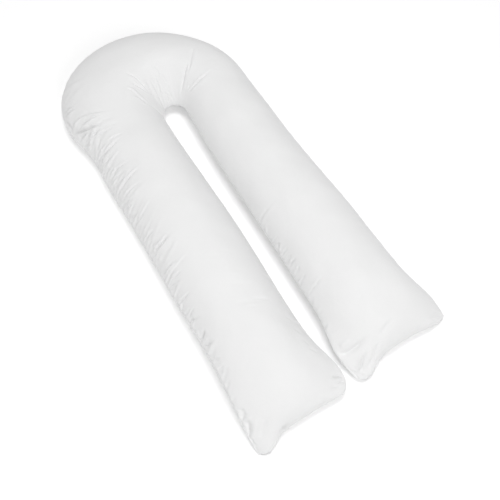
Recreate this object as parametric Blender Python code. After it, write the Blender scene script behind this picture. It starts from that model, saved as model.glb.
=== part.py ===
"""U-shaped full-body pillow: two cloth panels sewn together around the edge and filled with fibre.

Metres, +Z up. The pillow lies on its back on the surface: the arch, where the head rests, is at +Y
and the two closed leg ends are at -Y. The origin is at the centre of its footprint, on the surface.
The body is one closed solid. Its section (a lower and an upper panel that meet at the edge seam) is
carried up the left leg, round the arch and down the right leg.
"""
from collections import namedtuple
import math

import bmesh
import bpy
from mathutils import Vector

# Driving sizes
LEG_LINE = 0.165          # from the middle of the slot to the centre line of either leg
ARCH_CENTRE_Y = 0.372     # where the straight legs stop and the arch starts to turn
LEFT_END_Y = -0.735       # seam across the end of the left leg, before its corners
RIGHT_END_Y = -0.700      # seam across the end of the right leg, before its corners
END_TAPER = 0.30          # length over which the filling thins out to the end seam
ROUNDNESS = 2.3           # power of the section's curve: 2 is an ellipse, more is squarer
CORNER_FLATNESS = 0.80    # how far the filling stays out of the corners, 0 to 1
UNDERSIDE_PRESS = 1.12    # depth of the lower panel before the surface presses it flat
CORNER_START = 0.82       # share along the leg where the pull of the corners starts

# How finely the solid is cut
ACROSS_STEPS = 24
LEG_STEPS = 24
ARCH_STEPS = 26
END_CROWDING = 0.45       # how much of the leg's steps gather at the arch side of its length

# Sections. "outward" and "inward" are the half widths of the section on the side away from the slot
# and on the slot's side, "top" is the height of its crown and "seam" the height of the edge seam.
Section = namedtuple("Section", "place outward inward top seam")

# place: share of the leg, 0 where the arch starts and 1 at the end seam
LEFT_LEG = (
    Section(0.00, 0.158, 0.106, 0.176, 0.079),
    Section(0.12, 0.159, 0.114, 0.179, 0.080),
    Section(0.27, 0.156, 0.120, 0.181, 0.080),
    Section(0.42, 0.157, 0.124, 0.181, 0.080),
    Section(0.57, 0.161, 0.121, 0.180, 0.079),
    Section(0.72, 0.160, 0.113, 0.178, 0.075),
    Section(0.84, 0.167, 0.120, 0.172, 0.062),
    Section(0.93, 0.168, 0.150, 0.165, 0.041),
    Section(1.00, 0.179, 0.146, 0.160, 0.024),
)
RIGHT_LEG = (
    Section(0.00, 0.115, 0.127, 0.176, 0.079),
    Section(0.12, 0.116, 0.136, 0.178, 0.080),
    Section(0.27, 0.117, 0.140, 0.180, 0.080),
    Section(0.42, 0.125, 0.140, 0.181, 0.080),
    Section(0.57, 0.137, 0.141, 0.180, 0.079),
    Section(0.72, 0.142, 0.143, 0.177, 0.075),
    Section(0.84, 0.159, 0.144, 0.171, 0.062),
    Section(0.93, 0.192, 0.155, 0.164, 0.041),
    Section(1.00, 0.204, 0.133, 0.160, 0.024),
)
# place: turn of the arch in degrees, 0 at the left leg and 180 at the right leg
ARCH = (
    Section(0.0, 0.158, 0.106, 0.176, 0.079),
    Section(22.5, 0.209, 0.112, 0.177, 0.079),
    Section(45.0, 0.219, 0.124, 0.178, 0.079),
    Section(67.5, 0.217, 0.128, 0.178, 0.079),
    Section(90.0, 0.178, 0.128, 0.177, 0.079),
    Section(112.5, 0.155, 0.128, 0.175, 0.079),
    Section(135.0, 0.138, 0.129, 0.174, 0.079),
    Section(157.5, 0.124, 0.129, 0.175, 0.079),
    Section(180.0, 0.115, 0.127, 0.176, 0.079),
)

# The end seams. "place" runs across the leg from the slot's side (-1) to the outer side (1), "reach"
# is how far the seam lies past the leg's end line and "lift" how far above the section's seam height.
EndPoint = namedtuple("EndPoint", "place reach lift")
LEFT_END = (
    EndPoint(-1.00, -0.012, 0.004),
    EndPoint(-0.66, 0.003, 0.010),
    EndPoint(-0.33, 0.001, 0.014),
    EndPoint(0.00, 0.000, 0.014),
    EndPoint(0.33, 0.004, 0.008),
    EndPoint(0.66, 0.022, -0.004),
    EndPoint(1.00, 0.038, -0.012),
)
RIGHT_END = (
    EndPoint(-1.00, 0.034, -0.012),
    EndPoint(-0.66, 0.027, -0.004),
    EndPoint(-0.33, 0.005, 0.008),
    EndPoint(0.00, -0.004, 0.014),
    EndPoint(0.33, -0.009, 0.014),
    EndPoint(0.66, -0.005, 0.008),
    EndPoint(1.00, -0.004, -0.004),
)

CLOTH_COLOUR = (0.82, 0.82, 0.82, 1.0)
CLOTH_ROUGHNESS = 0.9


def blend_rows(rows, place):
    """Row of a table at any place: a cubic curve through the rows, with the slope of its neighbours."""
    last = len(rows) - 2
    index = min(max(sum(row.place <= place for row in rows) - 1, 0), last)
    low, high = rows[index], rows[index + 1]
    before, after = rows[max(index - 1, 0)], rows[min(index + 2, last + 1)]
    span = high.place - low.place
    t = (place - low.place) / span
    values = []
    for a, b, c, d in zip(before, low, high, after):
        slope_low = (c - a) / (high.place - before.place) * span
        slope_high = (d - b) / (after.place - low.place) * span
        values.append(
            (2 * t**3 - 3 * t**2 + 1) * b
            + (t**3 - 2 * t**2 + t) * slope_low
            + (3 * t**2 - 2 * t**3) * c
            + (t**3 - t**2) * slope_high
        )
    return type(low)(*values)


def leg_shares():
    """Shares of the leg from its end seam (1) to the arch (0), one for each station."""
    shares = []
    for step in range(LEG_STEPS + 1):
        even = 1.0 - step / LEG_STEPS
        rounded = math.cos(0.5 * math.pi * step / LEG_STEPS)
        shares.append(END_CROWDING * rounded + (1.0 - END_CROWDING) * even)
    return shares


def leg_station(share, side, end_y, sections, end_points):
    """Station on a leg: a point of its centre line, the way out from the slot, and its section."""
    centre = (side * LEG_LINE, ARCH_CENTRE_Y + (end_y - ARCH_CENTRE_Y) * share)
    return centre, (side, 0.0), blend_rows(sections, share), share, end_points


def arch_station(turn):
    """Station on the arch, which turns about the top of the slot from the left leg to the right."""
    outward = (-math.cos(math.radians(turn)), math.sin(math.radians(turn)))
    centre = (LEG_LINE * outward[0], ARCH_CENTRE_Y + LEG_LINE * outward[1])
    return centre, outward, blend_rows(ARCH, turn), 0.0, LEFT_END


def all_stations():
    """Stations from the left end seam, up the leg, round the arch and down to the right end seam."""
    shares = leg_shares()
    left = [leg_station(share, -1.0, LEFT_END_Y, LEFT_LEG, LEFT_END) for share in shares]
    arch = [arch_station(180.0 * step / ARCH_STEPS) for step in range(1, ARCH_STEPS)]
    right = [leg_station(share, 1.0, RIGHT_END_Y, RIGHT_LEG, RIGHT_END) for share in reversed(shares)]
    return left + arch + right


def panel_points(station, across):
    """Points of the upper and the lower panel at one place across a station's section."""
    centre, outward, section, share, end_points = station
    leg_length = ARCH_CENTRE_Y - 0.5 * (LEFT_END_Y + RIGHT_END_Y)
    taper = min(max(1.0 - (1.0 - share) * leg_length / END_TAPER, 0.0), 1.0)
    side_power = abs(across) ** ROUNDNESS
    end_power = taper**ROUNDNESS
    crown = max((1.0 - side_power) * (1.0 - end_power), 0.0) ** (1.0 / ROUNDNESS)
    filling = crown * (1.0 - CORNER_FLATNESS * side_power * end_power)
    pull = max((share - CORNER_START) / (1.0 - CORNER_START), 0.0) ** 2
    corner = blend_rows(end_points, across)

    offset = across * (section.outward if across > 0.0 else section.inward)
    x = centre[0] + outward[0] * offset
    y = centre[1] + outward[1] * offset - corner.reach * pull
    seam = section.seam + corner.lift * pull
    upper = seam + (section.top - section.seam) * filling
    lower = max(seam - section.seam * UNDERSIDE_PRESS * filling, 0.0)
    return (x, y, upper), (x, y, lower)


def pillow_panels():
    """Rows of points of the two panels, moved so that the footprint's centre is at the origin."""
    places = [-math.cos(math.pi * step / ACROSS_STEPS) for step in range(ACROSS_STEPS + 1)]
    rows = [[panel_points(station, across) for across in places] for station in all_stations()]
    xs = [upper[0] for row in rows for upper, _ in row]
    ys = [upper[1] for row in rows for upper, _ in row]
    middle = Vector((0.5 * (min(xs) + max(xs)), 0.5 * (min(ys) + max(ys)), 0.0))
    upper_panel = [[Vector(upper) - middle for upper, _ in row] for row in rows]
    lower_panel = [[Vector(lower) - middle for _, lower in row] for row in rows]
    return upper_panel, lower_panel


def cloth_material():
    """Plain white cotton."""
    material = bpy.data.materials.new("white_cotton")
    material.use_nodes = True
    shader = material.node_tree.nodes["Principled BSDF"]
    shader.inputs["Base Color"].default_value = CLOTH_COLOUR
    shader.inputs["Roughness"].default_value = CLOTH_ROUGHNESS
    shader.inputs["Metallic"].default_value = 0.0
    material.diffuse_color = CLOTH_COLOUR
    return material


def build_pillow():
    """The filled body: an upper and a lower panel that share the points of the seam round the edge."""
    upper, lower = pillow_panels()
    last_row, last_column = len(upper) - 1, len(upper[0]) - 1
    mesh = bmesh.new()
    top = [[mesh.verts.new(point) for point in row] for row in upper]
    under = []
    for i, row in enumerate(lower):
        seam_columns = range(last_column + 1) if i in (0, last_row) else (0, last_column)
        under.append([top[i][j] if j in seam_columns else mesh.verts.new(p) for j, p in enumerate(row)])
    for i in range(last_row):
        for j in range(last_column):
            mesh.faces.new((top[i][j], top[i + 1][j], top[i + 1][j + 1], top[i][j + 1]))
            mesh.faces.new((under[i][j], under[i][j + 1], under[i + 1][j + 1], under[i + 1][j]))
    bmesh.ops.recalc_face_normals(mesh, faces=mesh.faces)
    data = bpy.data.meshes.new("body_pillow")
    mesh.to_mesh(data)
    mesh.free()
    data.shade_smooth()
    pillow = bpy.data.objects.new("body_pillow", data)
    pillow.data.materials.append(cloth_material())
    bpy.context.scene.collection.objects.link(pillow)
    return pillow


for old in list(bpy.data.objects):
    bpy.data.objects.remove(old, do_unlink=True)
build_pillow()
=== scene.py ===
"""U-shaped full-body pillow: the look of its sewn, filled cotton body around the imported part.

Metres, +Z up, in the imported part's frame: the arch is at +Y, the two leg ends are at -Y, and the
pillow lies on the surface at Z = 0.
"""
from collections import namedtuple
import math

import bpy
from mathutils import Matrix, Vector
import numpy as np


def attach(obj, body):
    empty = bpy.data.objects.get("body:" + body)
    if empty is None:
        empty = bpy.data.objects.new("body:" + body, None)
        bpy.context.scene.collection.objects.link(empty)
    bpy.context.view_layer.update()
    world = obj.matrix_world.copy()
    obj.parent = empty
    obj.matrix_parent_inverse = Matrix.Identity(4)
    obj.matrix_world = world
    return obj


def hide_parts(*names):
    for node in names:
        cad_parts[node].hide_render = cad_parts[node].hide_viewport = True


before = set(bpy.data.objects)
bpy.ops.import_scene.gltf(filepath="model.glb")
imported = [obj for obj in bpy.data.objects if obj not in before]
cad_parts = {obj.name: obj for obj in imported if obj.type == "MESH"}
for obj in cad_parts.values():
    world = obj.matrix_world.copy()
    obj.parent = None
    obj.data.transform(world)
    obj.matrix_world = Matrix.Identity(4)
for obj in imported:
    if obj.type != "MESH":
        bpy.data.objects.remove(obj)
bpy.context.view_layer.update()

# ---------------------------------------------------------------- sizes of the cut and filled body
LEG_LINE = 0.165          # from the middle of the slot to the centre line of either leg
ARCH_CENTRE_Y = 0.372     # where the straight legs stop and the arch starts to turn
LEFT_END_Y = -0.735       # seam across the end of the left leg, before its corners
RIGHT_END_Y = -0.700      # seam across the end of the right leg, before its corners
END_TAPER = 0.30          # length over which the filling thins out to the end seam
ROUNDNESS = 2.3           # power of the section's curve: 2 is an ellipse, more is squarer
INNER_EDGE = 1.00         # how the crown falls to the slot's seam: 0.5 is round, 1 is a sharp lens
INNER_ROUNDNESS = 1.90    # power of the section's curve towards the slot
LOWER_EDGE = 0.85         # the same on the lower panel, which draws in under the seam
CORNER_FLATNESS = 0.80    # how far the filling stays out of the corners, 0 to 1
UNDERSIDE_PRESS = 1.45    # depth of the lower panel before the surface presses it flat
CORNER_START = 0.82       # share along the leg where the pull of the corners starts
FOOTPRINT_MIDDLE = (0.0109, -0.0216)   # from the slot's middle to the part's origin

# Sections: half widths away from the slot (outward) and towards it (inward), height of the crown
# (top), of the outer seam (seam) and of the slot's seam, and how the crown falls to the outer seam
# (edge): 0.5 is round, 1 is a sharp lens. place is the share of the leg, 0 at the arch, 1 at its end.
LEFT_LEG = np.array([
    # place, outward, inward, top, seam, slot seam, edge
    (0.00, 0.160, 0.124, 0.176, 0.058, 0.070, 0.76),
    (0.12, 0.161, 0.124, 0.179, 0.060, 0.070, 0.80),
    (0.27, 0.159, 0.128, 0.181, 0.064, 0.070, 0.80),
    (0.42, 0.161, 0.132, 0.181, 0.072, 0.070, 0.80),
    (0.57, 0.164, 0.130, 0.180, 0.082, 0.070, 0.80),
    (0.72, 0.164, 0.125, 0.178, 0.090, 0.070, 0.80),
    (0.84, 0.170, 0.131, 0.172, 0.088, 0.060, 0.80),
    (0.93, 0.178, 0.159, 0.165, 0.064, 0.042, 0.70),
    (1.00, 0.180, 0.163, 0.160, 0.022, 0.030, 0.60),
])
RIGHT_LEG = np.array([
    # place, outward, inward, top, seam, slot seam, edge
    (0.00, 0.123, 0.1245, 0.176, 0.060, 0.072, 0.45),
    (0.12, 0.124, 0.134, 0.178, 0.062, 0.076, 0.45),
    (0.27, 0.125, 0.140, 0.180, 0.064, 0.078, 0.45),
    (0.42, 0.133, 0.141, 0.181, 0.066, 0.078, 0.45),
    (0.57, 0.146, 0.142, 0.180, 0.066, 0.077, 0.45),
    (0.72, 0.152, 0.145, 0.177, 0.064, 0.074, 0.45),
    (0.84, 0.164, 0.147, 0.171, 0.056, 0.068, 0.45),
    (0.93, 0.199, 0.162, 0.164, 0.040, 0.050, 0.50),
    (1.00, 0.208, 0.143, 0.160, 0.024, 0.030, 0.60),
])
# place: turn of the arch in degrees, 0 at the left leg and 180 at the right leg
ARCH = np.array([
    # place, outward, inward, top, seam, slot seam, edge
    (0.0, 0.160, 0.124, 0.176, 0.058, 0.070, 0.76),
    (22.5, 0.212, 0.128, 0.177, 0.058, 0.066, 0.68),
    (45.0, 0.242, 0.126, 0.178, 0.058, 0.060, 0.55),
    (67.5, 0.230, 0.121, 0.178, 0.058, 0.055, 0.47),
    (90.0, 0.202, 0.118, 0.177, 0.058, 0.052, 0.45),
    (112.5, 0.172, 0.118, 0.175, 0.058, 0.053, 0.45),
    (135.0, 0.147, 0.121, 0.174, 0.058, 0.059, 0.45),
    (157.5, 0.133, 0.124, 0.175, 0.058, 0.066, 0.45),
    (180.0, 0.123, 0.1245, 0.176, 0.060, 0.072, 0.45),
])
# End seams, across the leg from the slot's side (-1) to the outer side (1): how far the seam reaches
# past the end line, and how far it lies above the section's seam height.
LEFT_END = np.array([
    # place, reach, lift
    (-1.00, 0.015, 0.004),
    (-0.80, 0.015, 0.008),
    (-0.50, 0.010, 0.014),
    (-0.20, 0.009, 0.014),
    (0.10, 0.012, 0.014),
    (0.35, 0.012, 0.008),
    (0.50, 0.016, 0.004),
    (0.65, 0.032, -0.004),
    (0.80, 0.045, -0.010),
    (1.00, 0.050, -0.012),
])
RIGHT_END = np.array([
    # place, reach, lift
    (-1.00, 0.050, -0.012),
    (-0.80, 0.042, -0.010),
    (-0.60, 0.031, -0.004),
    (-0.45, 0.018, 0.006),
    (-0.20, 0.006, 0.012),
    (0.10, 0.000, 0.014),
    (0.40, -0.001, 0.012),
    (0.70, 0.005, 0.006),
    (1.00, 0.009, -0.004),
])
# Rounded corners: how far each is drawn in towards the middle of its leg and back from the end line.
Corner = namedtuple("Corner", "inner outer")
CORNER_SHARPNESS = 7.0    # power of the rounding: more keeps it closer to the corner
LEFT_CORNER = Corner((0.008, 0.039), (0.009, 0.025))
RIGHT_CORNER = Corner((0.005, 0.025), (0.007, 0.017))

# ---------------------------------------------------------------- how finely the cloth is divided
STATIONS = 461            # along the body, before the subdivision
# How long the steps along the body are, next to each other: short where the cloth is creased.
STEP_LENGTHS = np.array([
    # metres along the body, step
    (0.00, 4.0),
    (0.06, 4.5),
    (0.13, 6.5),
    (0.25, 6.0),
    (0.35, 5.0),
    (0.85, 4.2),
    (1.00, 3.8),
    (1.22, 3.5),
    (1.32, 5.0),
    (1.62, 6.0),
    (1.70, 9.0),
    (2.10, 9.0),
    (2.22, 6.5),
    (2.46, 6.5),
    (2.60, 5.0),
    (2.66, 4.0),
    (2.70, 4.0),
])
UPPER_STEPS = 36          # across the upper panel
SEAM_CROWDING = 0.50      # how much the steps across gather at the seams, 0 to 1
FINE_STEPS = 2001         # in the sum of lengths that spaces the steps across
CROWN_SHARE = 0.68        # height of a typical section's crown to its half width
FLOWING = 0.022           # reach over which sections and the turn of the arch flow together
PATH_POINTS = 2701        # on the centre line, before the stations are chosen

# ---------------------------------------------------------------- camera
CAMERA_AIM = (-0.0562, -0.1969, 0.075)
CAMERA_DISTANCE = 2.381
CAMERA_AZIMUTH = -30.43   # degrees: 0 looks along +Y
CAMERA_ELEVATION = 63.0   # degrees above the surface
CAMERA_LENS = 55.0        # mm
SENSOR_WIDTH = 36.0       # mm
FRAME_SIDE = 500.0        # pixels


def camera_axes():
    """The camera's right, up and backward directions: the backward one is turned by the azimuth
    round Z and raised by the elevation, and the right one is level."""
    azimuth, elevation = math.radians(CAMERA_AZIMUTH), math.radians(CAMERA_ELEVATION)
    right = np.array([math.cos(azimuth), math.sin(azimuth), 0.0])
    level = np.array([math.sin(azimuth), -math.cos(azimuth), 0.0])
    back = level * math.cos(elevation) + np.array([0.0, 0.0, math.sin(elevation)])
    return right, np.cross(back, right), back


def camera_place():
    """The camera stands back from its aim by its distance."""
    return np.array(CAMERA_AIM) + CAMERA_DISTANCE * camera_axes()[2]


def camera():
    """Camera that looks at its aim."""
    data = bpy.data.cameras.new("camera")
    data.lens = CAMERA_LENS
    data.sensor_width = SENSOR_WIDTH
    data.clip_end = 50.0
    eye = bpy.data.objects.new("camera", data)
    eye.location = camera_place()
    eye.rotation_euler = Vector(camera_axes()[2]).to_track_quat("Z", "Y").to_euler()
    bpy.context.scene.collection.objects.link(eye)
    bpy.context.scene.camera = eye


def frame_places(points):
    """Pixels across and down the camera's frame at which points show: what a point lies to the right
    of the camera and above it, divided by its depth."""
    right, up, back = camera_axes()
    seen = points - camera_place()
    scale = FRAME_SIDE * CAMERA_LENS / SENSOR_WIDTH / -(seen @ back)
    return 0.5 * FRAME_SIDE + np.stack([scale * (seen @ right), -scale * (seen @ up)], -1)


# ---------------------------------------------------------------- surface of the filled body
def rows_at(table, places):
    """Table rows at any places: a cubic curve through the rows, with the slope of each row's
    neighbours, so that it runs smoothly from row to row."""
    knots, values = table[:, 0], table[:, 1:]
    slopes = np.empty_like(values)
    slopes[1:-1] = (values[2:] - values[:-2]) / (knots[2:] - knots[:-2])[:, None]
    slopes[0] = (values[1] - values[0]) / (knots[1] - knots[0])
    slopes[-1] = (values[-1] - values[-2]) / (knots[-1] - knots[-2])
    low = np.clip(np.searchsorted(knots, places, "right") - 1, 0, len(knots) - 2)
    span = (knots[low + 1] - knots[low])[:, None]
    t = (places - knots[low])[:, None] / span
    return (
        (2 * t**3 - 3 * t**2 + 1) * values[low]
        + (t**3 - 2 * t**2 + t) * span * slopes[low]
        + (3 * t**2 - 2 * t**3) * values[low + 1]
        + (t**3 - t**2) * span * slopes[low + 1]
    )


def across_places(steps):
    """Places across a panel, -1 at the slot's seam to 1 at the outer seam: even steps of the cloth's
    own length over a typical section, gathered a little towards both seams."""
    turn = np.linspace(0.0, math.pi, FINE_STEPS)
    across = -np.cos(turn)
    crown = CROWN_SHARE * np.clip(1.0 - np.abs(across) ** ROUNDNESS, 0.0, 1.0) ** (1.0 / ROUNDNESS)
    length = np.concatenate([[0.0], np.cumsum(np.hypot(np.diff(across), np.diff(crown)))])
    even = np.linspace(-1.0, 1.0, steps + 1)
    gathered = (1.0 - SEAM_CROWDING) * even + SEAM_CROWDING * np.sin(0.5 * math.pi * even)
    return np.interp(0.5 * (gathered + 1.0) * length[-1], length, across)


LEFT_LENGTH = ARCH_CENTRE_Y - LEFT_END_Y
RIGHT_LENGTH = ARCH_CENTRE_Y - RIGHT_END_Y
ARCH_LENGTH = math.pi * LEG_LINE
BODY_LENGTH = LEFT_LENGTH + ARCH_LENGTH + RIGHT_LENGTH
Path = namedtuple("Path", "centre outward section share side along")


def flowing(values):
    """Rows of evenly spaced values, each replaced by the mean of its neighbourhood weighted with a
    bell curve of reach FLOWING. Past both ends the first and last slopes run on."""
    step = BODY_LENGTH / (len(values) - 1)
    reach = int(3.0 * FLOWING / step)
    bell = np.exp(-0.5 * (np.arange(-reach, reach + 1) * step / FLOWING) ** 2)
    ramp = np.arange(1, reach + 1)[:, None]
    before = values[:1] - (values[1:2] - values[:1]) * ramp[::-1]
    after = values[-1:] + (values[-1:] - values[-2:-1]) * ramp
    padded = np.concatenate([before, values, after])
    return np.stack([np.convolve(column, bell / bell.sum(), "valid") for column in padded.T], 1)


def leg_and_arch_path():
    """Stations from the left end seam, up the leg, round the arch and down to the right end seam:
    centre point, way outward, section, share of the leg, side and distance along the centre line.
    The heading turns evenly round the arch, and the centre line is the sum of its small steps. The
    stations stand closer where STEP_LENGTHS is short: each is an equal share of the sum of 1 / step."""
    arch_end = LEFT_LENGTH + ARCH_LENGTH
    rows = [
        np.column_stack([LEFT_LENGTH * (1.0 - LEFT_LEG[::-1, 0]), LEFT_LEG[::-1, 1:]]),
        np.column_stack([LEFT_LENGTH + ARCH_LENGTH * ARCH[1:-1, 0] / 180.0, ARCH[1:-1, 1:]]),
        np.column_stack([arch_end + RIGHT_LENGTH * RIGHT_LEG[:, 0], RIGHT_LEG[:, 1:]]),
    ]
    even = np.linspace(0.0, BODY_LENGTH, PATH_POINTS)
    section = flowing(rows_at(np.concatenate(rows), even))
    turn = flowing(np.clip((even - LEFT_LENGTH) / LEG_LINE, 0.0, math.pi)[:, None])[:, 0]
    middle = 0.5 * (turn[1:] + turn[:-1])
    steps = np.stack([np.sin(middle), np.cos(middle)], 1) * np.diff(even)[:, None]
    line = np.concatenate([np.zeros((1, 2)), np.cumsum(steps, axis=0)])
    line[:, 0] = LEG_LINE * (2.0 * line[:, 0] / line[-1, 0] - 1.0)
    line[:, 1] += LEFT_END_Y
    density = 1.0 / np.interp(even, STEP_LENGTHS[:, 0], STEP_LENGTHS[:, 1])
    count = np.concatenate([[0.0], np.cumsum(0.5 * (density[1:] + density[:-1]))])
    along = np.interp(np.linspace(0.0, count[-1], STATIONS), count, even)

    def at_stations(columns):
        return np.stack([np.interp(along, even, column) for column in columns.T], 1)

    turn = np.interp(along, even, turn)
    share = np.maximum(1.0 - along / LEFT_LENGTH, (along - arch_end) / RIGHT_LENGTH).clip(0.0, 1.0)
    side = np.sign(along - 0.5 * BODY_LENGTH)
    outward = np.stack([-np.cos(turn), np.sin(turn)], 1)
    return Path(at_stations(line), outward, at_stations(section), share, side, along)


def eased(values):
    """0 up to 1 over the range 0 to 1, with level ends."""
    held = np.clip(values, 0.0, 1.0)
    return held * held * (3.0 - 2.0 * held)


def panel_surfaces(path, across):
    """Upper and lower panel as grids of points (station, place across). A section is a flattened
    ellipse of power ROUNDNESS, which thins out to the end seams and in the corners; the surface
    presses the lower panel flat, and the ends follow the end seams' reach and lift."""
    outward, inward, top, seam, slot_seam, outer_edge = [path.section[:, k, None] for k in range(6)]
    leg_length = ARCH_CENTRE_Y - 0.5 * (LEFT_END_Y + RIGHT_END_Y)
    taper = np.clip(1.0 - (1.0 - path.share) * leg_length / END_TAPER, 0.0, 1.0)[:, None]
    power = np.where(across > 0.0, ROUNDNESS, INNER_ROUNDNESS)
    side_power = (np.abs(across) ** power)[None, :]
    end_power = taper**ROUNDNESS
    edge = np.where(across > 0.0, outer_edge, INNER_EDGE)
    thinning = np.clip(1.0 - end_power, 0.0, 1.0) ** (1.0 / ROUNDNESS)
    thinning = thinning * (1.0 - CORNER_FLATNESS * side_power * end_power)
    above, below = thinning * (1.0 - side_power) ** edge, thinning * (1.0 - side_power) ** LOWER_EDGE
    pull = np.clip((path.share - CORNER_START) / (1.0 - CORNER_START), 0.0, 1.0)[:, None] ** 2
    left, right = rows_at(LEFT_END, across), rows_at(RIGHT_END, across)
    is_left = (path.side < 0.0)[:, None]
    reach = np.where(is_left, left[None, :, 0], right[None, :, 0]) * pull
    lift = np.where(is_left, left[None, :, 1], right[None, :, 1]) * pull
    rounding = (np.abs(across)[None, :] * taper) ** CORNER_SHARPNESS
    outer = (across > 0.0)[None, :]
    left_in, left_back = [np.where(outer, LEFT_CORNER.outer[k], LEFT_CORNER.inner[k]) for k in (0, 1)]
    right_in, right_back = [np.where(outer, RIGHT_CORNER.outer[k], RIGHT_CORNER.inner[k]) for k in (0, 1)]
    drawn_in = rounding * np.where(is_left, left_in, right_in)
    reach = reach - rounding * np.where(is_left, left_back, right_back)
    offset = np.where(outer, outward, inward) * across - np.sign(across) * drawn_in
    x = path.centre[:, None, 0] + path.outward[:, None, 0] * offset
    y = path.centre[:, None, 1] + path.outward[:, None, 1] * offset - reach
    x, y = x - FOOTPRINT_MIDDLE[0], y - FOOTPRINT_MIDDLE[1]
    level = slot_seam + (seam - slot_seam) * eased(0.5 * (across + 1.0))[None, :]
    upper = np.dstack([x, y, level + lift + (top - level) * above])
    lower = np.dstack([x, y, np.maximum(level + lift - level * UNDERSIDE_PRESS * below, 0.0)])
    return upper, lower


def finer(grid, times):
    """Grid with each step cut into equal parts, on a smooth curve through the old points: a cubic
    whose slope at a point comes from its two neighbours, first along the stations, then across."""
    for axis in (0, 1):
        points = np.moveaxis(grid, axis, 0)
        slopes = np.gradient(points, axis=0)
        parts = []
        for t in np.arange(times) / times:
            parts.append(
                (2 * t**3 - 3 * t**2 + 1) * points[:-1]
                + (t**3 - 2 * t**2 + t) * slopes[:-1]
                + (3 * t**2 - 2 * t**3) * points[1:]
                + (t**3 - t**2) * slopes[1:]
            )
        inner = np.stack(parts, 1).reshape((-1,) + points.shape[1:])
        grid = np.moveaxis(np.concatenate([inner, points[-1:]]), 0, axis)
    return grid


def halved(places):
    """Places with one more in the middle of each step."""
    return np.interp(np.arange(2 * len(places) - 1) / 2.0, np.arange(len(places)), places)


def outward_normals(grid, sign):
    """Unit normals of a grid: the cross product of its two directions, turned outwards by sign."""
    normal = np.cross(np.gradient(grid, axis=0), np.gradient(grid, axis=1)) * sign
    return normal / np.maximum(np.linalg.norm(normal, axis=2, keepdims=True), 1e-12)


def sewn_indices(stations, upper_steps):
    """Numbers of the points of both panels. The lower panel has half as many steps across, and it
    shares the upper panel's points on the seams along its edges and across the two ends."""
    upper = np.arange(stations * (upper_steps + 1)).reshape(stations, upper_steps + 1)
    lower = np.full((stations, upper_steps // 2 + 1), -1)
    lower[:, 0], lower[:, -1] = upper[:, 0], upper[:, -1]
    lower[0], lower[-1] = upper[0, ::2], upper[-1, ::2]
    own = lower < 0
    lower[own] = upper.size + np.arange(own.sum())
    return upper, lower, own


def sewn_faces(upper, lower):
    """Faces of both panels, all facing outwards: four-sided ones, and along the end seams
    five-sided ones where the lower panel takes in the upper panel's points."""
    a, b, c, d = upper[:-1, :-1], upper[1:, :-1], upper[1:, 1:], upper[:-1, 1:]
    top = np.stack([a, b, c, d], -1).reshape(-1, 4)
    a, b, c, d = lower[:-1, :-1], lower[1:, :-1], lower[1:, 1:], lower[:-1, 1:]
    under = np.stack([d, c, b, a], -1)[1:-1].reshape(-1, 4)
    first = np.stack([upper[0, 1::2], d[0], c[0], b[0], a[0]], -1)
    last = np.stack([d[-1], c[-1], upper[-1, 1::2], b[-1], a[-1]], -1)
    return np.concatenate([top, under]), np.concatenate([first, last])


def sewn_mesh(name, upper, lower):
    """Closed mesh of the two panels, smooth all over, and the numbers of their points."""
    upper_index, lower_index, own = sewn_indices(upper.shape[0], upper.shape[1] - 1)
    points = np.concatenate([upper.reshape(-1, 3), lower[own]])
    quads, fives = sewn_faces(upper_index, lower_index)
    corners = np.concatenate([quads.ravel(), fives.ravel()])
    sizes = np.concatenate([np.full(len(quads), 4), np.full(len(fives), 5)])
    mesh = bpy.data.meshes.new(name)
    mesh.vertices.add(len(points))
    mesh.vertices.foreach_set("co", points.ravel())
    mesh.loops.add(len(corners))
    mesh.loops.foreach_set("vertex_index", corners)
    mesh.polygons.add(len(sizes))
    mesh.polygons.foreach_set("loop_start", np.concatenate([[0], np.cumsum(sizes)[:-1]]))
    mesh.polygons.foreach_set("loop_total", sizes)
    mesh.update(calc_edges=True)
    mesh.validate()
    mesh.shade_smooth()
    piece = bpy.data.objects.new(name, mesh)
    bpy.context.scene.collection.objects.link(piece)
    return piece, (upper_index, lower_index, own)


# ---------------------------------------------------------------- filling: cloth under pressure
SETTLING_FRAMES = 14
FILL_PRESSURE = 3.0
SEAM_HOLD = 0.4           # how firmly the seams keep to the cut outline, 0 to 1
MOST_MOVED = 0.022        # furthest that the filling may push a point of the cloth, in metres


def vertex_weights(piece, name, weights):
    """Vertex group with the given weights, in steps of a hundredth."""
    group = piece.vertex_groups.new(name=name)
    rounded = np.round(weights, 2)
    for value in np.unique(rounded[rounded > 0.0]):
        group.add(np.flatnonzero(rounded == value).tolist(), float(value), "REPLACE")
    return group.name


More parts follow.
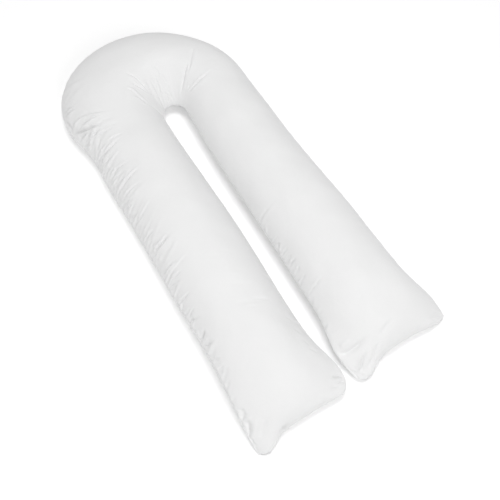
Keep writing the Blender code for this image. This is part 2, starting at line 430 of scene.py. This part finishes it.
def settled(upper, lower):
    """Both panels after the filling pushes them out: Blender's Cloth with pressure inside, no
    gravity, the pressed underside held still and the seams held softly. The result goes back into
    the panels' grids, with the cloth's movement capped."""
    piece, (upper_index, lower_index, own) = sewn_mesh("filling_test", upper, lower)
    start = np.concatenate([upper.reshape(-1, 3), lower[own]])
    hold = np.where(start[:, 2] < 1e-6, 1.0, 0.0)
    hold[np.concatenate([upper_index[:, 0], upper_index[:, -1], upper_index[0], upper_index[-1]])] = SEAM_HOLD
    modifier = piece.modifiers.new("filling", "CLOTH")
    cloth = modifier.settings
    cloth.quality = 5
    cloth.mass = 0.15
    cloth.tension_stiffness = cloth.compression_stiffness = 15.0
    cloth.shear_stiffness = 5.0
    cloth.bending_stiffness = 0.1
    cloth.use_pressure = True
    cloth.uniform_pressure_force = FILL_PRESSURE
    cloth.vertex_group_mass = vertex_weights(piece, "hold", hold)
    cloth.effector_weights.gravity = 0.0
    modifier.collision_settings.use_collision = False
    modifier.point_cache.frame_start = 1
    modifier.point_cache.frame_end = SETTLING_FRAMES
    scene = bpy.context.scene
    for step in range(1, SETTLING_FRAMES + 1):
        scene.frame_set(step)
    result = piece.evaluated_get(bpy.context.evaluated_depsgraph_get()).to_mesh()
    end = np.empty(start.size, dtype=np.float32)
    result.vertices.foreach_get("co", end)
    scene.frame_set(1)
    bpy.data.objects.remove(piece)
    moved = end.reshape(-1, 3) - start
    far = np.linalg.norm(moved, axis=1, keepdims=True)
    moved = moved * np.minimum(1.0, MOST_MOVED / np.maximum(far, 1e-9))
    points = start + moved
    return points[upper_index], points[lower_index]


# ---------------------------------------------------------------- folds, puckers and seams
# A fold is a ridge on a bent line over a panel. start, bend and end lie on that line, each as (metres
# along the body, place across). height is the ridge's in metres, below zero for a trough; width is
# its half width; valley is the share of the height of the opposite bell beside it: on the left going
# from start to end where it is positive, on the right where negative.
Fold = namedtuple("Fold", "start bend end height width valley")
# The creases that show best, each as noted. Their places are pixels across and down the
# camera's frame, height and width are in millimetres.
Crease = namedtuple("Crease", "start bend end height width valley")
SHOULDER_CREASES = (
    Crease((65, 115), (68, 112), (73, 107), 3.4, 3.4, 0.7),
    Crease((67, 118), (70, 114), (74, 110), 3.2, 3.4, 0.7),
    Crease((66, 122), (70, 127), (73.5, 133), -3.0, 3.4, 0.0),
    Crease((75, 128), (83, 118), (107, 113), 2.8, 5.0, 0.7),
    Crease((81, 129), (88, 122), (99, 116.6), 2.6, 4.0, 0.8),
    Crease((75, 133), (87, 129), (101, 123.6), -5.0, 3.4, 0.0),
    Crease((78, 135), (88, 131), (101, 127), 2.6, 5.0, 0.0),
    Crease((92, 123), (89, 126), (86, 129), -2.0, 3.2, 0.0),
    Crease((101, 124), (109, 125), (118, 122.3), -1.0, 4.0, 0.0),
    Crease((101, 120), (106, 119), (113, 117), -1.2, 4.4, 0.0),
    Crease((81, 140), (84, 136), (87, 133), -3.0, 3.4, -0.5),
    Crease((86, 142), (88, 137), (90, 133.6), -2.8, 3.4, -0.5),
    Crease((90, 139), (93, 135), (97.5, 130.5), -3.4, 3.6, 0.5),
    Crease((97, 136), (103, 132), (112, 128), -1.8, 4.0, 0.4),
    Crease((84, 148), (86, 146), (89, 143.5), -2.2, 3.4, 0.0),
    Crease((87, 150), (89, 148), (92, 146), 1.8, 3.4, 0.6),
)
FLANK_CREASES = (
    Crease((99, 163), (107, 151), (119, 139.8), -5.2, 4.6, 0.5),
    Crease((109, 141), (114, 137), (122, 134), -2.4, 4.0, 0.5),
    Crease((104, 166), (107, 161), (110.8, 157), -3.0, 3.6, 0.5),
    Crease((104, 174), (106, 170), (108.3, 166.8), -3.4, 3.0, 0.5),
    Crease((107, 173), (108, 170), (110.4, 167.4), -3.0, 3.0, 0.5),
    Crease((110, 173), (112, 170), (114.5, 167), -2.0, 3.0, 0.5),
    Crease((114, 171), (120, 166), (129, 161.5), -3.0, 3.8, 0.5),
    Crease((115, 178), (119, 174), (125, 171), -2.0, 3.6, 0.5),
    Crease((114, 185), (116, 182), (118.5, 179.5), -2.8, 3.0, 0.5),
    Crease((118, 183), (121, 179), (125, 175), -2.2, 3.4, 0.0),
    Crease((119, 194), (125, 182), (138, 169), -4.1, 4.6, 0.8),
    Crease((124, 200), (128, 192), (139, 183.5), -3.2, 4.1, 0.5),
    Crease((126, 204), (129, 201), (133, 198.8), -3.0, 3.6, 0.5),
    Crease((126, 210), (129, 207), (133.3, 203), -3.2, 3.6, 0.5),
    Crease((131, 218), (134, 216), (138, 210.5), -2.8, 3.6, 0.4),
    Crease((137, 222), (142, 211), (149, 199), 2.6, 4.4, -0.7),
    Crease((145, 241), (148, 236), (152.8, 230.8), -3.0, 3.8, 0.5),
    Crease((142, 238), (144, 235), (146.5, 232), -1.8, 3.0, 0.0),
    Crease((153, 251), (160, 245), (167, 234.5), -6.2, 4.8, 0.4),
    Crease((154, 257), (156, 254), (160, 251.5), -2.0, 3.6, 0.0),
    Crease((166, 274), (169, 269), (174, 263.6), 4.0, 3.6, 0.6),
    Crease((171, 279), (175, 276), (180.5, 271), -3.8, 4.0, 0.5),
    Crease((170, 287), (174, 283), (180.5, 279.5), -4.0, 3.8, 0.0),
    Crease((172, 289), (175, 287), (178, 286.6), -3.0, 3.6, 0.0),
    Crease((179, 302), (183, 299), (188, 292.8), -4.0, 4.4, 0.4),
    Crease((189, 318), (191, 313), (193.5, 307), -3.0, 3.8, 0.5),
    Crease((189, 323), (193, 320), (198.5, 316.6), -3.4, 4.0, 0.0),
    Crease((200, 341), (202, 336), (204.5, 330), -7.5, 5.4, 0.0),
    Crease((204, 346), (208, 345), (211.3, 341), -7.0, 3.8, 0.0),
    Crease((210, 349), (213, 344), (217, 339), 2.4, 3.4, 0.0),
    Crease((214, 361), (216, 360), (219.5, 357.5), -4.0, 3.2, 0.0),
    Crease((219, 368), (221, 367), (224, 365.8), -3.2, 3.2, 0.0),
    Crease((221, 373), (224, 371), (228, 369.6), -2.6, 3.2, 0.0),
)
FAN_CREASES = (
    Crease((124, 73), (139, 80), (151, 94.5), -3.4, 4.0, -0.4),
    Crease((145, 82), (152, 92), (158, 105), -2.4, 3.4, 0.0),
    Crease((132, 83), (140, 87), (149, 93.2), -2.6, 3.4, -0.4),
    Crease((127, 88), (137, 93), (151.5, 106), 2.4, 4.0, -0.5),
    Crease((133, 97), (139, 99), (147, 105), 1.4, 3.6, 0.6),
    Crease((153, 64), (158, 71), (162, 78), -2.6, 3.2, 0.0),
    Crease((155, 74), (159, 83), (162.5, 96), -1.8, 3.4, -0.5),
    Crease((188, 62), (184, 76), (181, 95.5), -6.8, 3.4, 0.0),
    Crease((192, 47), (191, 60), (187.8, 73.5), -4.0, 4.4, 0.5),
    Crease((188, 92), (198, 81), (215, 68.2), -2.8, 3.8, 0.5),
    Crease((190, 92), (198, 85), (207, 79.4), 1.6, 3.4, 0.0),
)
END_CREASES = (
    Crease((251, 439), (254, 443), (257.5, 447.3), -1.8, 2.6, 0.0),
    Crease((258, 436), (264, 428), (266, 415), -2.4, 7.0, 0.0),
    Crease((280, 433), (284, 428), (288.5, 423.5), -6.1, 3.6, 0.0),
    Crease((288, 421), (292, 420), (296, 418), -2.0, 3.2, 0.0),
    Crease((342, 376), (338, 376), (331, 377.3), -6.0, 3.4, 0.0),
    Crease((343, 381), (341, 382), (336, 382.6), -4.0, 3.0, 0.0),
    Crease((341, 386), (336, 387), (330, 385), -2.0, 3.6, 0.0),
    Crease((340, 347), (344, 343), (350, 338), 2.4, 6.0, 0.0),
    Crease((351, 370), (356, 373), (363.5, 372.6), -1.4, 2.6, 0.0),
    Crease((440, 316), (436, 316), (430.5, 317.8), -3.2, 4.2, 0.0),
)
SLOT_CREASES = (
    Crease((261, 225), (266, 214), (278, 200), 1.6, 3.6, 0.7),
    Crease((259, 220), (261, 214), (264, 208), 1.2, 3.6, 0.6),
    Crease((309, 294), (315, 285), (321, 277), -2.6, 3.6, 0.6),
    Crease((300, 285), (302, 280), (306, 271.5), -2.8, 3.4, 0.6),
    Crease((290, 265), (292, 262), (295.5, 257.5), -3.0, 3.6, 0.7),
    Crease((286, 261), (288, 258), (291, 255), -2.6, 3.4, 0.7),
    Crease((282, 256), (284, 252), (287, 248), -2.4, 3.4, 0.7),
    Crease((276, 249), (278, 245), (281, 241), -2.2, 3.4, 0.7),
    Crease((272, 243), (274, 240), (277, 235.5), -1.8, 3.4, 0.7),
    Crease((295, 273), (297, 270), (299, 266), -2.4, 3.4, 0.7),
    Crease((301, 334), (298, 331), (295, 327.5), -2.6, 3.8, 0.6),
    Crease((309, 346), (307, 343), (303.5, 339.5), -3.0, 3.8, 0.6),
    Crease((317, 353), (313, 350), (308.5, 347.5), -2.2, 3.8, 0.6),
    Crease((292, 322), (290, 319), (286.5, 315.5), -1.8, 3.6, 0.6),
)
CORNER_CREASES = (
    Crease((239, 410), (241, 411), (244, 408), -7.0, 4.0, 0.0),
    Crease((242, 419), (243, 416), (246, 411), -6.0, 4.8, 0.0),
    Crease((244, 421), (247, 418), (252, 415), 3.0, 3.5, 0.5),
    Crease((249, 434), (248, 427), (249, 419), -9.0, 6.6, 0.0),
    Crease((252, 436), (254, 428), (254, 416), 3.5, 4.0, 0.0),
    Crease((341, 354), (352, 350), (368, 335), -12.0, 7.5, 0.0),
    Crease((361, 373), (363, 362), (366, 350), -9.0, 4.6, 0.5),
    Crease((368, 368), (374, 355), (381, 338), -8.0, 6.0, 0.0),
    Crease((380, 336), (386, 326), (395, 316), -4.5, 4.2, 0.0),
)
# How each group's creases are drawn on the cloth: how many times higher and wider than noted, and how
# far each runs on past its end, as a share of the way from its bend to its end.
CreaseGroup = namedtuple("CreaseGroup", "creases higher wider longer")
CREASE_GROUPS = (
    CreaseGroup(SHOULDER_CREASES, 2.5, 0.82, 0.30),
    CreaseGroup(FLANK_CREASES, 1.1, 0.82, 0.28),
    CreaseGroup(FAN_CREASES, 1.15, 0.82, 0.15),
    CreaseGroup(END_CREASES, 1.7, 0.95, 0.10),
    CreaseGroup(SLOT_CREASES, 1.3, 0.90, 0.20),
    CreaseGroup(CORNER_CREASES, 1.0, 1.0, 0.0),
)
NARROWEST_CREASE = 3.0    # half width in millimetres
MILLIMETRE = 0.001
LOOKUP_BLUR = 0.7         # pixels over which the lookup of a place on the cloth is averaged
FOLD_POINTS = 48          # on the line of a fold
FOLD_REACH = 4.0          # how many half widths away from its line a fold still moves the cloth
VALLEY_PLACE = 1.7        # half widths from a ridge to the bottom of its valley
FOLD_SHARPNESS = 1.2      # power of a fold's profile where it has no valley
FOLD_SWELL = 0.2          # part of a fold's length over which it rises
FOLD_FADE = 0.4           # part of its length over which it dies away
SEAM_START = 0.5          # share of its height that a fold has where it starts on a seam

# Rows of short puckers that the stitches draw up along a seam: between two places (metres along the
# body; on an end seam places across), how many, their height, their share of the panel and their
# lean: the mean of their slants, above zero where they run towards the right leg's end.
PuckerRow = namedtuple("PuckerRow", "seam first last count height reach lean")
PUCKER_ROWS = (
    PuckerRow("outer", 0.06, 0.45, 30, 0.0015, 0.13, 0.2),
    PuckerRow("outer", 0.45, 0.80, 26, 0.0012, 0.20, 0.3),
    PuckerRow("outer", 0.80, 1.22, 36, 0.0014, 0.27, 0.4),
    PuckerRow("outer", 0.55, 1.22, 44, 0.0011, 0.42, 0.6),
    PuckerRow("outer", 1.24, 1.62, 16, 0.0007, 0.10, 0.0),
    PuckerRow("outer", 1.66, 2.66, 34, 0.0006, 0.12, 0.0),
    PuckerRow("slot", 0.06, 0.40, 24, 0.0010, 0.15, 0.0),
    PuckerRow("slot", 0.42, 1.08, 26, 0.0005, 0.12, 0.0),
    PuckerRow("slot", 1.70, 2.08, 16, 0.0004, 0.12, 0.0),
    PuckerRow("slot", 2.10, 2.58, 30, 0.0008, 0.15, 0.0),
    PuckerRow("left end", -0.80, 0.80, 14, 0.0010, 0.022, 0.0),
    PuckerRow("right end", -0.80, 0.85, 14, 0.0010, 0.022, 0.0),
)
PUCKER_SEED = 11
PUCKER_JITTER = 0.42           # how far a pucker strays from its even place, in steps
PUCKER_HEIGHTS = (0.35, 1.5)   # least and most, as shares of the row's height
PUCKER_WIDTHS = (0.0036, 0.0058)   # least and most half width, in metres
PUCKER_REACHES = (0.5, 1.6)    # least and most, as shares of the row's reach
PUCKER_SPREAD = 0.35           # how much the slants vary about the row's lean
PUCKER_VALLEY = 0.8            # depth of the valley beside a pucker, as a share of its height
PUCKER_BELOW = 0.6             # length on the lower panel, as a share of that on the upper one
SIDE_SLANT = (0.02, 0.05)      # metres along the body that a slant of 1 moves the bend and the end
END_SLANT = (0.05, 0.14)       # the same on an end seam, in places across
LUMP_SEED = 5
LUMP_COUNT = 28
LUMP_LENGTHS = (0.055, 0.20)   # shortest and longest wave of the uneven filling, in metres
LUMP_HEIGHT = 0.0011
PANEL_WIDTH = 0.20             # metres that one unit across stands for in the waves of the filling
SEAM_GROOVE = 0.0014           # how deep the stitches draw the seam in
SEAM_PLUMP = 0.0008            # how far the cloth stands up again beside it
GROOVE_WIDTH = 0.0045          # half width of the groove and of the rim
SEAM_SHARE = 0.25              # how much of this the slot's seam and the end seams show
SEAM_FADE = 0.05               # length over which the outer seam takes on the end seams' share
PLUMP_PLACE = 0.011            # from the seam to the top of that rim
PRESSED_DEPTH = 0.012          # folds fade out below this height, where the surface presses the cloth


def fold_line(fold):
    """Points of a fold's line in cloth coordinates: the quadratic curve through start, bend, end."""
    start, bend, end = [np.array(point) for point in (fold.start, fold.bend, fold.end)]
    t = np.linspace(0.0, 1.0, FOLD_POINTS)[:, None]
    pull = 2.0 * bend - 0.5 * (start + end)
    return (1.0 - t) ** 2 * start + 2.0 * t * (1.0 - t) * pull + t**2 * end


def points_at(grid, along, across, line):
    """Points of a grid at cloth coordinates: the mean of the four nearest, weighted by nearness."""
    row = np.interp(line[:, 0], along, np.arange(len(along)))
    column = np.interp(line[:, 1], across, np.arange(len(across)))
    i = np.minimum(row.astype(int), len(along) - 2)
    j = np.minimum(column.astype(int), len(across) - 2)
    a, b = (row - i)[:, None], (column - j)[:, None]
    near = (1.0 - b) * grid[i, j] + b * grid[i, j + 1]
    far = (1.0 - b) * grid[i + 1, j] + b * grid[i + 1, j + 1]
    return (1.0 - a) * near + a * far


def laid_creases(grid, normals, along, across):
    """The creases as folds on a panel, sized as their group says. A place in the camera's frame is
    looked up among the points of the panel that face the camera: it is their mean place on the
    cloth, weighted by a bell of their distance from it in the frame."""
    hidden = ((camera_place() - grid) * normals).sum(2) < 0.0
    shown = frame_places(grid)
    folds = []
    for group in CREASE_GROUPS:
        for crease in group.creases:
            start, bend, end = [np.array(place) for place in (crease.start, crease.bend, crease.end)]
            end = end + group.longer * (end - bend)
            spots = []
            for place in (start, bend, end):
                apart = ((shown - place) ** 2).sum(2) + np.where(hidden, FRAME_SIDE**2, 0.0)
                weight = np.exp((apart.min() - apart) / (2.0 * LOOKUP_BLUR**2))
                weight = weight / weight.sum()
                spots.append((weight.sum(1) @ along, weight.sum(0) @ across))
            height = MILLIMETRE * group.higher * crease.height
            width = MILLIMETRE * max(NARROWEST_CREASE, group.wider * crease.width)
            folds.append(Fold(*spots, height, width, crease.valley))
    return folds


def fold_shift(grid, normals, along, across, folds):
    """Outward shift of each point of a panel from its folds. With u the distance from a fold's line
    in half widths, a fold is a bell of u with a second, opposite bell beside it, or without one it
    is exp(-|u|^1.2), which is sharp along the middle. A fold swells up over its first fifth and dies
    away over the last two fifths, and one that starts on a seam has half its height there."""
    shift = np.zeros(grid.shape[:2])
    for fold in folds:
        line = points_at(grid, along, across, fold_line(fold))
        margin = FOLD_REACH * fold.width
        inside = np.all((grid > line.min(0) - margin) & (grid < line.max(0) + margin), axis=2)
        if not inside.any():
            continue
        points, facing = grid[inside], normals[inside]
        way = np.gradient(line, axis=0)
        way = way / np.maximum(np.linalg.norm(way, axis=1, keepdims=True), 1e-9)
        nearest = np.linalg.norm(points[:, None] - line[None], axis=2).argmin(1)
        gap = points - line[nearest]
        way = way[nearest]
        past = np.abs((gap * way).sum(1)) / fold.width
        past = np.where((nearest == 0) | (nearest == FOLD_POINTS - 1), past, 0.0)
        u = (gap * np.cross(facing, way)).sum(1) / fold.width
        off = np.abs((gap * facing).sum(1)) / fold.width
        profile = np.exp(-u**2) if fold.valley else np.exp(-np.abs(u) ** FOLD_SHARPNESS)
        beside = u - math.copysign(VALLEY_PLACE, fold.valley)
        profile = profile - abs(fold.valley) * np.exp(-(beside**2))
        place = nearest / (FOLD_POINTS - 1)
        near_end = min(fold.start[0], BODY_LENGTH - fold.start[0]) < 0.01
        at_seam = SEAM_START if abs(fold.start[1]) > 0.9 or near_end else 0.0
        swell = at_seam + (1.0 - at_seam) * eased(place / FOLD_SWELL)
        swell = swell * eased((1.0 - place) / FOLD_FADE)
        shift[inside] += fold.height * swell * profile * np.exp(-(past**2) - 0.2 * off**2)
    return shift


def puckers():
    """Short folds along the seams, at uneven distances, heights and slants, as pairs: one that runs
    up the upper panel and one that runs down the lower panel from the same stitch."""
    random = np.random.default_rng(PUCKER_SEED)
    above, below = [], []
    for row in PUCKER_ROWS:
        stops = np.linspace(row.first, row.last, row.count)
        stops = stops + random.uniform(-PUCKER_JITTER, PUCKER_JITTER, row.count) * (stops[1] - stops[0])
        for stop in stops:
            height = row.height * random.uniform(*PUCKER_HEIGHTS)
            width = random.uniform(*PUCKER_WIDTHS)
            reach = row.reach * random.uniform(*PUCKER_REACHES)
            slant = random.normal(row.lean, PUCKER_SPREAD)
            valley = random.choice((-PUCKER_VALLEY, PUCKER_VALLEY))
            for panel, share in ((above, 1.0), (below, PUCKER_BELOW)):
                if row.seam.endswith("end"):
                    edge, inward = (0.0, 1.0) if row.seam == "left end" else (BODY_LENGTH, -1.0)
                    start = (edge, stop)
                    bend = (edge + 0.5 * share * reach * inward, stop + END_SLANT[0] * slant)
                    end = (edge + share * reach * inward, stop + END_SLANT[1] * slant)
                else:
                    side = 1.0 if row.seam == "outer" else -1.0
                    start = (stop, side)
                    slide = slant * share
                    bend = (stop + SIDE_SLANT[0] * slide, side * (1.0 - 0.5 * share * reach))
                    end = (stop + SIDE_SLANT[1] * slide, side * (1.0 - share * reach))
                panel.append(Fold(start, bend, end, height, width, valley))
    return above, below


def lumps(along, across):
    """Uneven filling: a sum of waves with random lengths, directions and phases over the cloth,
    which fades out at the seams."""
    random = np.random.default_rng(LUMP_SEED)
    length = random.uniform(*LUMP_LENGTHS, LUMP_COUNT)
    turn = random.uniform(0.0, math.pi, LUMP_COUNT)
    phase = random.uniform(0.0, 2.0 * math.pi, LUMP_COUNT)
    down = along[:, None, None] * np.cos(turn) + PANEL_WIDTH * across[None, :, None] * np.sin(turn)
    waves = np.sin(2.0 * math.pi * down / length + phase) * (length / LUMP_LENGTHS[1])
    fade = 1.0 - across**4
    return LUMP_HEIGHT * waves.sum(2) * math.sqrt(2.0 / LUMP_COUNT) * fade


def seam_distance(grid):
    """Distance of each point from the nearest seam, over the cloth: along the two side seams and
    across the two end seams."""
    across = np.linalg.norm(np.diff(grid, axis=1), axis=2)
    across = np.concatenate([np.zeros((len(grid), 1)), np.cumsum(across, axis=1)], axis=1)
    down = np.linalg.norm(np.diff(grid, axis=0), axis=2)
    down = np.concatenate([np.zeros((1, grid.shape[1])), np.cumsum(down, axis=0)])
    sides = np.minimum(across, across[:, -1:] - across)
    return np.minimum(sides, np.minimum(down, down[-1:] - down))


def dressed(upper, lower, along, across):
    """Both panels with their folds, puckers and lumps, and with the seam drawn in: a narrow groove on
    the seam and a low plump rim beside it. The pressed underside stays flat."""
    above, below = puckers()
    upper_way, lower_way = outward_normals(upper, 1.0), outward_normals(lower, -1.0)
    for way in (upper_way, lower_way):
        for edge in ((slice(None), 0), (slice(None), -1), (0, slice(None)), (-1, slice(None))):
            level = way[edge] * (1.0, 1.0, 0.3)
            way[edge] = level / np.maximum(np.linalg.norm(level, axis=-1, keepdims=True), 1e-9)
    far_from_ends = eased(np.minimum(along, along[-1] - along) / SEAM_FADE)[:, None]
    result = []
    for grid, way, places, folds in (
        (upper, upper_way, across, laid_creases(upper, upper_way, along, across) + above),
        (lower, lower_way, across[::2], below),
    ):
        gap = seam_distance(grid)
        shift = fold_shift(grid, way, along, places, folds)
        groove = SEAM_GROOVE * np.exp(-((gap / GROOVE_WIDTH) ** 2))
        groove -= SEAM_PLUMP * np.exp(-(((gap - PLUMP_PLACE) / GROOVE_WIDTH) ** 2))
        shift -= groove * (SEAM_SHARE + (1.0 - SEAM_SHARE) * np.where(places < 0.0, 0.0, far_from_ends))
        if places is across:
            shift += lumps(along, across)
        shift *= eased(grid[..., 2] / PRESSED_DEPTH)
        result.append(grid + way * shift[..., None])
    return result


# ---------------------------------------------------------------- materials
THREAD_PITCH = 0.00055    # from one thread to the next, in metres
WAVE_TURN = math.pi / 10  # the wave texture's own length at scale 1, in metres
COTTON_SHADE = 0.815      # the tones of the cotton vary between these two
COTTON_LIGHT = 0.840
SEAM_SHADE = 0.85         # tone in the groove of the seam
SEAM_TONE_WIDTH = 0.006   # half width of that tone, in metres


def added(tree, kind, inputs=(), **settings):
    """New node with its settings; inputs are (socket, value or output socket) pairs."""
    node = tree.nodes.new(kind)
    for name, value in settings.items():
        setattr(node, name, value)
    for socket, value in inputs:
        if isinstance(value, bpy.types.NodeSocket):
            tree.links.new(value, node.inputs[socket])
        else:
            node.inputs[socket].default_value = value
    return node


def woven(tree, cloth):
    """Height of a plain weave: the product of a wave along the warp and one along the weft, so that
    each thread goes over and under its neighbours in turn."""
    waves = []
    for direction in ("X", "Y"):
        wave = added(
            tree, "ShaderNodeTexWave",
            (("Vector", cloth), ("Scale", 0.5 * WAVE_TURN / THREAD_PITCH), ("Distortion", 0.5),
             ("Detail", 1.0), ("Detail Scale", 0.15)),
            wave_type="BANDS", bands_direction=direction, wave_profile="SIN",
        )
        centred = added(tree, "ShaderNodeMath", ((0, wave.outputs["Fac"]), (1, 0.5)), operation="SUBTRACT")
        waves.append(centred.outputs[0])
    product = added(tree, "ShaderNodeMath", ((0, waves[0]), (1, waves[1])), operation="MULTIPLY")
    return product.outputs[0]


def cotton():
    """White cotton percale: a fine plain weave, threads of uneven thickness, wrinkles finer than the
    mesh, slow changes of tone and roughness, a soft fuzz, and one even tone down in the seam."""
    material = bpy.data.materials.new("white_cotton")
    material.use_nodes = True
    tree = material.node_tree
    shader = tree.nodes["Principled BSDF"]
    cloth = added(tree, "ShaderNodeUVMap", uv_map="cloth").outputs["UV"]
    place = added(tree, "ShaderNodeTexCoord").outputs["Object"]

    slow = added(
        tree, "ShaderNodeTexNoise",
        (("Vector", place), ("Scale", 7.0), ("Detail", 3.0), ("Roughness", 0.55)),
    ).outputs["Fac"]
    slubs = added(
        tree, "ShaderNodeTexNoise",
        (("Vector", added(tree, "ShaderNodeMapping", (("Vector", cloth), ("Scale", (90.0, 1400.0, 1.0)))
                          ).outputs["Vector"]), ("Scale", 1.0), ("Detail", 1.0)),
    ).outputs["Fac"]
    wrinkles = added(
        tree, "ShaderNodeTexNoise",
        (("Vector", place), ("Scale", 46.0), ("Detail", 4.0), ("Roughness", 0.5), ("Distortion", 0.9)),
    ).outputs["Fac"]
    weave = woven(tree, cloth)

    mixed = added(tree, "ShaderNodeMath", ((0, slow), (1, slubs)), operation="ADD").outputs[0]
    tone = added(
        tree, "ShaderNodeMapRange",
        (("Value", mixed), ("From Min", 0.7), ("From Max", 1.3),
         ("To Min", COTTON_SHADE), ("To Max", COTTON_LIGHT)),
    ).outputs["Result"]
    seam = added(tree, "ShaderNodeAttribute", attribute_name="seam").outputs["Fac"]
    drawn = added(
        tree, "ShaderNodeMapRange",
        (("Value", seam), ("From Min", 0.35), ("From Max", 1.0), ("To Min", 0.0), ("To Max", 1.0)),
    ).outputs["Result"]
    colour = added(tree, "ShaderNodeMix", (("Factor", drawn), ("A", tone), ("B", SEAM_SHADE)))
    tree.links.new(colour.outputs["Result"], shader.inputs["Base Color"])

    rough = added(
        tree, "ShaderNodeMapRange",
        (("Value", slow), ("From Min", 0.3), ("From Max", 0.7), ("To Min", 0.84), ("To Max", 0.94)),
    ).outputs["Result"]
    tree.links.new(rough, shader.inputs["Roughness"])
    shader.inputs["Specular IOR Level"].default_value = 0.3
    shader.inputs["Sheen Weight"].default_value = 0.08
    shader.inputs["Sheen Roughness"].default_value = 0.5

    creased = added(
        tree, "ShaderNodeBump", (("Strength", 0.35), ("Distance", 0.0016), ("Height", wrinkles)),
    ).outputs["Normal"]
    threads = added(
        tree, "ShaderNodeBump",
        (("Strength", 0.5), ("Distance", 0.00018), ("Height", weave), ("Normal", creased)),
    ).outputs["Normal"]
    tree.links.new(threads, shader.inputs["Normal"])
    return material


def floor_paint():
    """Plain white studio floor, lit a little from within like a light table."""
    material = bpy.data.materials.new("studio_floor")
    material.use_nodes = True
    shader = material.node_tree.nodes["Principled BSDF"]
    shader.inputs["Base Color"].default_value = (FLOOR_WHITE, FLOOR_WHITE, FLOOR_WHITE, 1.0)
    shader.inputs["Roughness"].default_value = 1.0
    shader.inputs["Specular IOR Level"].default_value = 0.0
    shader.inputs["Emission Color"].default_value = (1.0, 1.0, 1.0, 1.0)
    shader.inputs["Emission Strength"].default_value = FLOOR_GLOW
    return material


# ---------------------------------------------------------------- studio
FLOOR_REACH = 12.0
FLOOR_WHITE = 0.97
FLOOR_GLOW = 0.13         # light that the floor gives off itself
SKY_STRENGTH = 0.42
SOFTBOX_DISTANCE = 4.6
# Softboxes: turn and height in degrees (0 is the -Y side, 90 the +X side), size across and power.
Softbox = namedtuple("Softbox", "name turn height size watts")
SOFTBOXES = (
    Softbox("overhead_softbox", 0.0, 89.9, 1.6, 86.0),
    Softbox("front_softbox", 0.0, 40.0, 2.0, 50.0),
    Softbox("left_softbox", -100.0, 40.0, 2.0, 14.0),
)


def studio():
    """White floor, an even white sky and softboxes on a dome, each facing the origin."""
    reach = FLOOR_REACH
    mesh = bpy.data.meshes.new("studio_floor")
    corners = [(-reach, -reach, 0.0), (reach, -reach, 0.0), (reach, reach, 0.0), (-reach, reach, 0.0)]
    mesh.from_pydata(corners, [], [(0, 1, 2, 3)])
    mesh.materials.append(floor_paint())
    floor = bpy.data.objects.new("studio_floor", mesh)
    bpy.context.scene.collection.objects.link(floor)
    for softbox in SOFTBOXES:
        turn, height = math.radians(softbox.turn), math.radians(softbox.height)
        away = Vector((
            math.sin(turn) * math.cos(height),
            -math.cos(turn) * math.cos(height),
            math.sin(height),
        ))
        data = bpy.data.lights.new(softbox.name, "AREA")
        data.energy = softbox.watts
        data.size = softbox.size
        lamp = bpy.data.objects.new(softbox.name, data)
        lamp.location = away * SOFTBOX_DISTANCE
        lamp.rotation_euler = away.to_track_quat("Z", "Y").to_euler()
        bpy.context.scene.collection.objects.link(lamp)
    world = bpy.data.worlds.new("studio_sky")
    world.use_nodes = True
    world.node_tree.nodes["Background"].inputs["Color"].default_value = (1.0, 1.0, 1.0, 1.0)
    world.node_tree.nodes["Background"].inputs["Strength"].default_value = SKY_STRENGTH
    bpy.context.scene.world = world
    bpy.context.scene.view_settings.view_transform = "Standard"


# ---------------------------------------------------------------- the pillow
def cloth_coordinates(piece, path, upper, lower, numbers):
    """UV map "cloth": each panel laid out flat, in metres, so that the threads run straight through
    the whole panel as it was cut. A point lies at its centre line plus its distance over the cloth
    from the crown. Attribute "seam": 1 on a seam, falling to 0 away from it."""
    upper_index, lower_index, own = numbers
    count = len(piece.data.vertices)
    flat, seam = np.zeros((count, 2)), np.zeros(count)
    centre = np.stack([halved(path.centre[:, k]) for k in (0, 1)], 1)
    outward = np.stack([halved(path.outward[:, k]) for k in (0, 1)], 1)
    for grid, index, keep in (
        (lower, lower_index, own),
        (upper, upper_index, np.ones(upper_index.shape, bool)),
    ):
        steps = np.linalg.norm(np.diff(grid, axis=1), axis=2)
        over = np.concatenate([np.zeros((len(grid), 1)), np.cumsum(steps, axis=1)], axis=1)
        over = over - over[:, grid.shape[1] // 2, None]
        laid = centre[:, None] + outward[:, None] * over[..., None]
        near = np.exp(-((seam_distance(grid) / SEAM_TONE_WIDTH) ** 2))
        flat[index[keep]] = laid[keep]
        seam[index[keep]] = near[keep]
    corners = np.empty(len(piece.data.loops), dtype=np.int32)
    piece.data.loops.foreach_get("vertex_index", corners)
    layer = piece.data.uv_layers.new(name="cloth")
    layer.uv.foreach_set("vector", flat[corners].astype(np.float32).ravel())
    attribute = piece.data.attributes.new("seam", "FLOAT", "POINT")
    attribute.data.foreach_set("value", seam.astype(np.float32))


def pillow():
    """The sewn and filled body."""
    path = leg_and_arch_path()
    across = across_places(UPPER_STEPS)
    upper, lower = panel_surfaces(path, across)
    lower = lower[:, ::2]
    upper, lower = settled(upper, lower)
    upper, lower = finer(upper, 2), finer(lower, 2)
    along, across = halved(path.along), halved(across)
    upper, lower = dressed(upper, lower, along, across)
    upper[..., 2] = np.maximum(upper[..., 2], 0.0)
    lower[..., 2] = np.maximum(lower[..., 2], 0.0)
    piece, numbers = sewn_mesh("pillow_body", upper, lower)
    cloth_coordinates(piece, path, upper, lower, numbers)
    piece.data.materials.append(cotton())
    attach(piece, "root")
    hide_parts("body_pillow")
    return piece


camera()
studio()
pillow()
